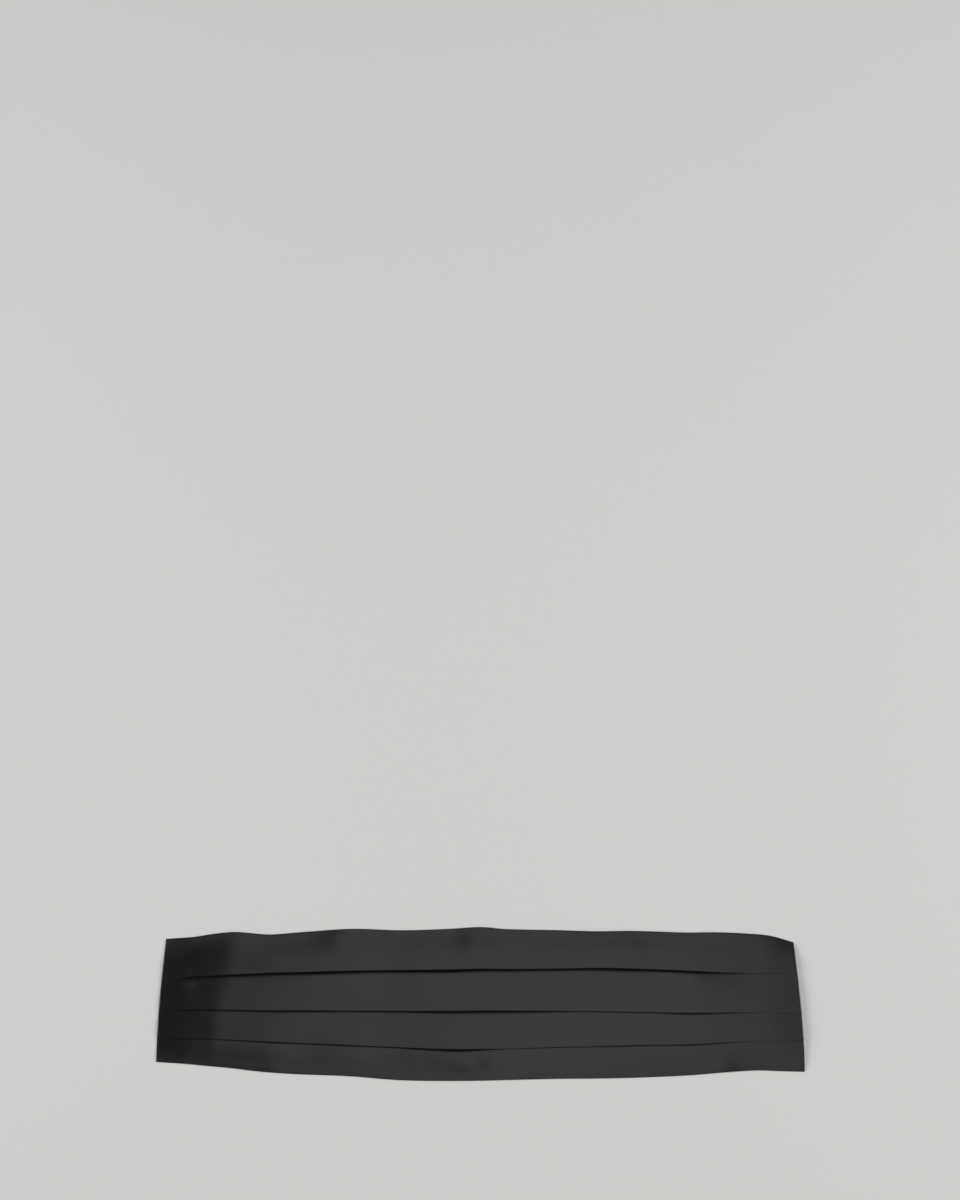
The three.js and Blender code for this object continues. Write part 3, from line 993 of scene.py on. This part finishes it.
@dataclass
class Strap:
    """One ribbon strap.

    It is sewn flat to the front's back, folded under itself near the end, laid along the
    floor to the clasp, turned round the clasp's bar and sewn down on itself.
    """

    end: End
    front: PleatedFront
    bar_inside: float
    bar: float
    underlay: Underlay
    width: float = 25 * MM
    thickness: float = 0.8 * MM
    selvedge: float = 1.6 * MM
    selvedge_bead: float = 0.12
    fold_place: float = 0.43
    patch: float = 28 * MM
    tail: float = 24 * MM
    ramp: float = 8 * MM
    patch_points: int = 12
    turn_points: int = 17
    run_points: int = 42
    ramp_points: int = 9
    tail_points: int = 8
    across_points: int = 13
    side_points: int = 7

    def path(self) -> tuple[np.ndarray, np.ndarray]:
        """The ribbon's middle line, with X counted from the middle towards the strap's end.

        It is the sewn patch, a half circle out round the fold, the straight run, a half
        circle back round the bar, the smooth slope down from the bar and the tail.

        Returns:
            The x and the z of its points.
        """
        lay = self.underlay
        fold_reach = (lay.upper - lay.run + lay.strap) / 2
        fold_at = self.front.length * self.fold_place - fold_reach
        patch_x = np.linspace(fold_at - self.patch, fold_at, self.patch_points)[:-1]
        fold_z = self.sewn_height(np.array([fold_at]))[0]
        half = np.linspace(0, pi, self.turn_points)
        fold_radius = (fold_z - lay.run) / 2
        bar_radius = (lay.over_clasp - lay.run) / 2
        run_x = np.linspace(fold_at, self.bar_inside, self.run_points)[1:-1]
        ramp_start = self.bar_inside + self.bar + lay.seat
        ramp_x = np.linspace(ramp_start, ramp_start + self.ramp, self.ramp_points)
        tail_x = np.linspace(ramp_x[-1], ramp_x[-1] + self.tail, self.tail_points)[1:]
        slope = 1 - ease(ramp_x[0], ramp_x[-1], ramp_x)
        x = [
            patch_x,
            fold_at + fold_radius * np.sin(half),
            run_x,
            self.bar_inside - bar_radius * np.sin(half),
            ramp_x,
            tail_x,
        ]
        z = [
            self.sewn_height(patch_x),
            lay.run + fold_radius * (1 + np.cos(half)),
            np.full(run_x.shape, lay.run),
            lay.run + bar_radius * (1 - np.cos(half)),
            blend(lay.upper, lay.over_clasp, slope),
            np.full(tail_x.shape, lay.upper),
        ]
        return np.concatenate(x), np.concatenate(z)

    def sewn_height(self, x: np.ndarray) -> np.ndarray:
        """The middle of the ribbon where it is sewn to the front's back."""
        lift = self.front.lift_at(self.end.value * x / self.front.length)
        return lift - self.underlay.seat - self.underlay.strap / 2

    def outline(self) -> np.ndarray:
        """The ribbon's cross-section: flat, with round edges and a slightly thicker selvedge.

        Returns:
            Points by 2: the place across the ribbon, and the height over its middle.
        """
        half = self.width / 2
        radius = self.thickness / 2
        across = np.linspace(-half + radius, half - radius, self.across_points)
        bead = 1 + self.selvedge_bead * ease(half - self.selvedge, half - radius, np.abs(across))
        turn = np.linspace(0, pi, self.side_points)[1:-1]
        edge_s = half - radius + radius * np.sin(turn)
        edge_n = radius * (1 + self.selvedge_bead) * np.cos(turn)
        s = np.concatenate([across, edge_s, across[::-1], -edge_s])
        n = np.concatenate([radius * bead, edge_n, -radius * bead[::-1], -edge_n])
        return np.stack([s, n], axis=-1)

    def surface(self) -> tuple[np.ndarray, np.ndarray, float]:
        """The ribbon's surface: its cross-section carried along its path.

        At each point of the path the section stands square to the path's direction, which
        is found from the points before and after.

        Returns:
            The points, path by section by 3, the map with one more point in each ring, and
            the ribbon's length.
        """
        x, z = self.path()
        x = x * self.end.value
        steps = np.hypot(np.diff(x), np.diff(z))
        place = np.concatenate([[0.0], np.cumsum(steps)])
        direction = np.stack([np.gradient(x, place), np.gradient(z, place)])
        direction = direction / np.hypot(*direction)
        s, n = self.outline().T
        px = x[:, None] - direction[1][:, None] * n
        pz = z[:, None] + direction[0][:, None] * n
        py = np.broadcast_to(s, px.shape)
        sides = np.hypot(*np.diff([[*s, s[0]], [*n, n[0]]], axis=1))
        around = np.concatenate([[0.0], np.cumsum(sides)])
        map_u, map_v = np.meshgrid(place, around, indexing="ij")
        return np.stack([px, py, pz], axis=-1), np.stack([map_u, map_v], axis=-1), float(place[-1])

    def build(
        self, finish: bpy.types.Material, stitching: list[bpy.types.Object]
    ) -> bpy.types.Object:
        """Args:
            finish: The ribbon's material.
            stitching: The stitches that go with it. Not used.

        Returns:
            The finished piece.
        """
        name = f"{self.end.name.lower()}_strap"
        points, ribbon_map, length = self.surface()
        piece = closed_band(f"{name}_ribbon", points, ribbon_map, capped=True)
        outwards(piece)
        piece.data.materials.append(finish)
        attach(piece, "root")
        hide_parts(name)
        return piece


def outwards(piece: bpy.types.Object) -> None:
    """Turns every face of a closed piece outwards."""
    shape = bmesh.new()
    shape.from_mesh(piece.data)
    bmesh.ops.recalc_face_normals(shape, faces=shape.faces)
    shape.to_mesh(piece.data)
    shape.free()


@dataclass
class Stitching:
    """The box of stitches that holds down a strap's tail, seen on the strap's underside."""

    strap: Strap
    stitch: float = 2.2 * MM
    pitch: float = 3 * MM
    radius: float = 0.16 * MM
    sunk: float = 0.08 * MM
    inset: float = 3 * MM
    taper: float = 0.45
    ring_count: int = 5
    ring_points: int = 6

    def rows(self) -> tuple[np.ndarray, np.ndarray]:
        """Where the stitches lie: a row along each side of the box and one across each end.

        Returns:
            The middles and the directions, both stitches by 2, in X and Y.
        """
        strap = self.strap
        low = strap.bar_inside + strap.bar + strap.underlay.seat + strap.ramp + self.inset / 2
        high = low + strap.tail - self.inset
        half = strap.width / 2 - self.inset
        x = np.arange(low + self.pitch / 2, high, self.pitch)
        y = np.arange(-half + self.pitch / 2, half, self.pitch)
        sides = [np.stack([x, np.full(x.shape, sign * half)], axis=-1) for sign in (-1, 1)]
        ends = [np.stack([np.full(y.shape, at), y], axis=-1) for at in (low, high)]
        places = np.concatenate(sides + ends)
        directions = np.zeros(places.shape)
        directions[: 2 * len(x), 0] = 1
        directions[2 * len(x) :, 1] = 1
        places[:, 0] *= strap.end.value
        return places, directions

    def build(self, finish: bpy.types.Material) -> bpy.types.Object:
        """Makes the stitches as one piece.

        A stitch is a row of small rings whose middles follow a low arch, a parabola that
        sinks into the ribbon at both ends, and whose radii shrink towards the ends.

        Args:
            finish: The thread's material.

        Returns:
            The finished piece.
        """
        places, directions = self.rows()
        strap = self.strap
        t = np.linspace(-1, 1, self.ring_count)
        angle = np.linspace(0, 2 * pi, self.ring_points + 1)[:-1]
        radius = self.radius * (1 - self.taper * t**4)
        underside = strap.underlay.run - strap.thickness / 2
        arch = underside + self.sunk + 2 * self.radius * t**2
        shape = (len(places), len(t), len(angle))
        side = np.stack([-directions[:, 1], directions[:, 0]], axis=-1)
        ring = radius[:, None] * np.cos(angle)
        run = t * self.stitch / 2
        flat = places[:, None, None] + directions[:, None, None] * run[None, :, None, None]
        flat = flat + side[:, None, None] * ring[None, ..., None]
        z = np.broadcast_to(arch[:, None] + radius[:, None] * np.sin(angle), shape)
        points = np.concatenate([flat, z[..., None]], axis=-1).reshape(-1, 3)
        rings, around = len(t), len(angle)
        offsets = np.arange(len(places)) * rings * around
        sides = (offsets[:, None, None] + tube_quads(rings, around)).reshape(-1, 4).tolist()
        caps = np.stack([np.arange(around)[::-1], np.arange(around) + (rings - 1) * around])
        ends = (offsets[:, None, None] + caps).reshape(-1, around).tolist()
        name = f"{strap.end.name.lower()}_strap_stitches"
        mesh = bpy.data.meshes.new(name)
        mesh.from_pydata(points.tolist(), [], sides + ends)
        mesh.shade_smooth()
        piece = linked(name, mesh)
        outwards(piece)
        mesh.materials.append(finish)
        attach(piece, "root")
        return piece


@dataclass
class Clasp:
    """The slotted plate that joins the two straps."""

    bar: float = 3 * MM
    edge: float = 0.25 * MM
    edge_steps: int = 3
    merge: float = 0.0125 * MM
    flat_degrees: float = 4.0
    sharp_degrees: float = 40.0

    @property
    def box(self) -> tuple[Vector, Vector]:
        """The plate's lowest and highest corners."""
        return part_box("clasp")

    def bar_inside(self, end: End) -> float:
        """The inner side of a bar, counted from the front's middle towards a strap's end."""
        low, high = self.box
        return high.x - self.bar if end is End.RIGHT else -low.x - self.bar

    def build(self, finish: BrushedMetal) -> bpy.types.Object:
        """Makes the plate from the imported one, merged and with its edges rounded.

        Args:
            finish: The metal's finish.

        Returns:
            The finished piece.
        """
        shape = bmesh.new()
        shape.from_mesh(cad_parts["clasp"].data)
        bmesh.ops.remove_doubles(shape, verts=shape.verts, dist=self.merge)
        flat = radians(self.flat_degrees)
        bmesh.ops.dissolve_limit(shape, angle_limit=flat, verts=shape.verts, edges=shape.edges)
        shape.verts.index_update()
        points = [tuple(vertex.co) for vertex in shape.verts]
        faces = [[vertex.index for vertex in face.verts] for face in shape.faces]
        shape.free()
        mesh = bpy.data.meshes.new("clasp_plate")
        mesh.from_pydata(points, [], faces)
        mesh.shade_smooth()
        piece = linked("clasp_plate", mesh)
        rounding = piece.modifiers.new("rounded_edges", "BEVEL")
        rounding.width = self.edge
        rounding.segments = self.edge_steps
        rounding.limit_method = "ANGLE"
        rounding.angle_limit = radians(self.sharp_degrees)
        rounding.harden_normals = True
        mesh.materials.append(finish.material())
        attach(piece, "root")
        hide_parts("clasp")
        return piece


@dataclass(frozen=True)
class SoftLight:
    """A plain rectangular light, which faces its target. radiance is its brightness."""

    name: str
    centre: tuple[float, float, float]
    target: tuple[float, float, float]
    size: tuple[float, float]
    radiance: float
    colour: tuple[float, float, float] = (1.0, 1.0, 1.0)

    def build(self) -> bpy.types.Object:
        """Makes the light. Its power is its radiance times its area times pi."""
        data = bpy.data.lights.new(self.name, "AREA")
        data.shape = "RECTANGLE"
        data.size, data.size_y = self.size
        data.energy = self.radiance * self.size[0] * self.size[1] * pi
        data.color = self.colour
        light = linked(self.name, data)
        light.location = self.centre
        aim = Vector(self.target) - Vector(self.centre)
        light.rotation_euler = aim.to_track_quat("-Z", "Y").to_euler()
        light.visible_camera = False
        return light


@dataclass
class Studio:
    """The floor, the lights, the surroundings and the camera."""

    floor_half: float = 9.0
    camera_height: float = 5.76
    camera_x: float = -0.0004
    camera_y: float = 0.349
    lens: float = 200.0
    sensor: float = 36.0
    surroundings: float = 0.05
    lights: tuple[SoftLight, ...] = (
        SoftLight(
            "overhead", (0.125, -0.2, 2.5), (0.125, -0.2, 0.0), (1.15, 5.6), 1.04, (1.0, 0.985, 0.95)
        ),
        SoftLight("left_side", (-2.6, 0.3, 1.8), (0.0, 0.2, 0.0), (1.0, 2.0), 9.0),
        SoftLight("right_side", (2.6, 0.3, 1.8), (0.0, 0.2, 0.0), (1.0, 2.0), 9.0),
    )

    def build(self, finish: PaleFloor) -> None:
        """Makes the floor, the lights, the surroundings and the camera."""
        self.floor(finish)
        for light in self.lights:
            light.build()
        self.world()
        self.camera()
        bpy.context.scene.view_settings.view_transform = "Standard"

    def floor(self, finish: PaleFloor) -> None:
        """Makes the floor, one flat square."""
        half = self.floor_half
        corners = [(-half, -half, 0.0), (half, -half, 0.0), (half, half, 0.0), (-half, half, 0.0)]
        mesh = bpy.data.meshes.new("floor")
        mesh.from_pydata(corners, [], [(0, 1, 2, 3)])
        mesh.materials.append(finish.material())
        linked("floor", mesh)

    def world(self) -> None:
        """Makes the even, pale light of the room."""
        world = bpy.data.worlds.new("room")
        world.use_nodes = True
        background = world.node_tree.nodes["Background"]
        background.inputs["Color"].default_value = (1.0, 1.0, 1.0, 1.0)
        background.inputs["Strength"].default_value = self.surroundings
        bpy.context.scene.world = world

    def camera(self) -> None:
        """Makes the camera, which looks straight down with Y upwards in the picture."""
        data = bpy.data.cameras.new("camera")
        data.lens = self.lens
        data.sensor_width = self.sensor
        data.clip_end = 4 * self.camera_height
        camera = linked("camera", data)
        camera.location = (self.camera_x, self.camera_y, self.camera_height)
        bpy.context.scene.camera = camera


def report(piece: bpy.types.Object) -> bpy.types.Object:
    """Logs a finished piece and hands it on."""
    log.info("%s: %d faces before its modifiers", piece.name, len(piece.data.polygons))
    return piece


def main() -> None:
    """Builds the cummerbund from the floor up, then the studio round it."""
    logging.basicConfig(level=logging.INFO)
    low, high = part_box("pleated_front")
    underlay = Underlay()
    front = PleatedFront(high.x - low.x, high.y - low.y, underlay)
    clasp = Clasp()
    report(clasp.build(BrushedMetal()))
    ribbon = Ribbon().material()
    thread = Thread().material()
    straps = []
    for end in End:
        strap = Strap(end, front, clasp.bar_inside(end), clasp.bar, underlay)
        stitches = report(Stitching(strap).build(thread))
        straps.append(report(strap.build(ribbon, [stitches])))
    report(front.build(Satin(), straps))
    Studio().build(PaleFloor())


if __name__ == "__main__":
    main()
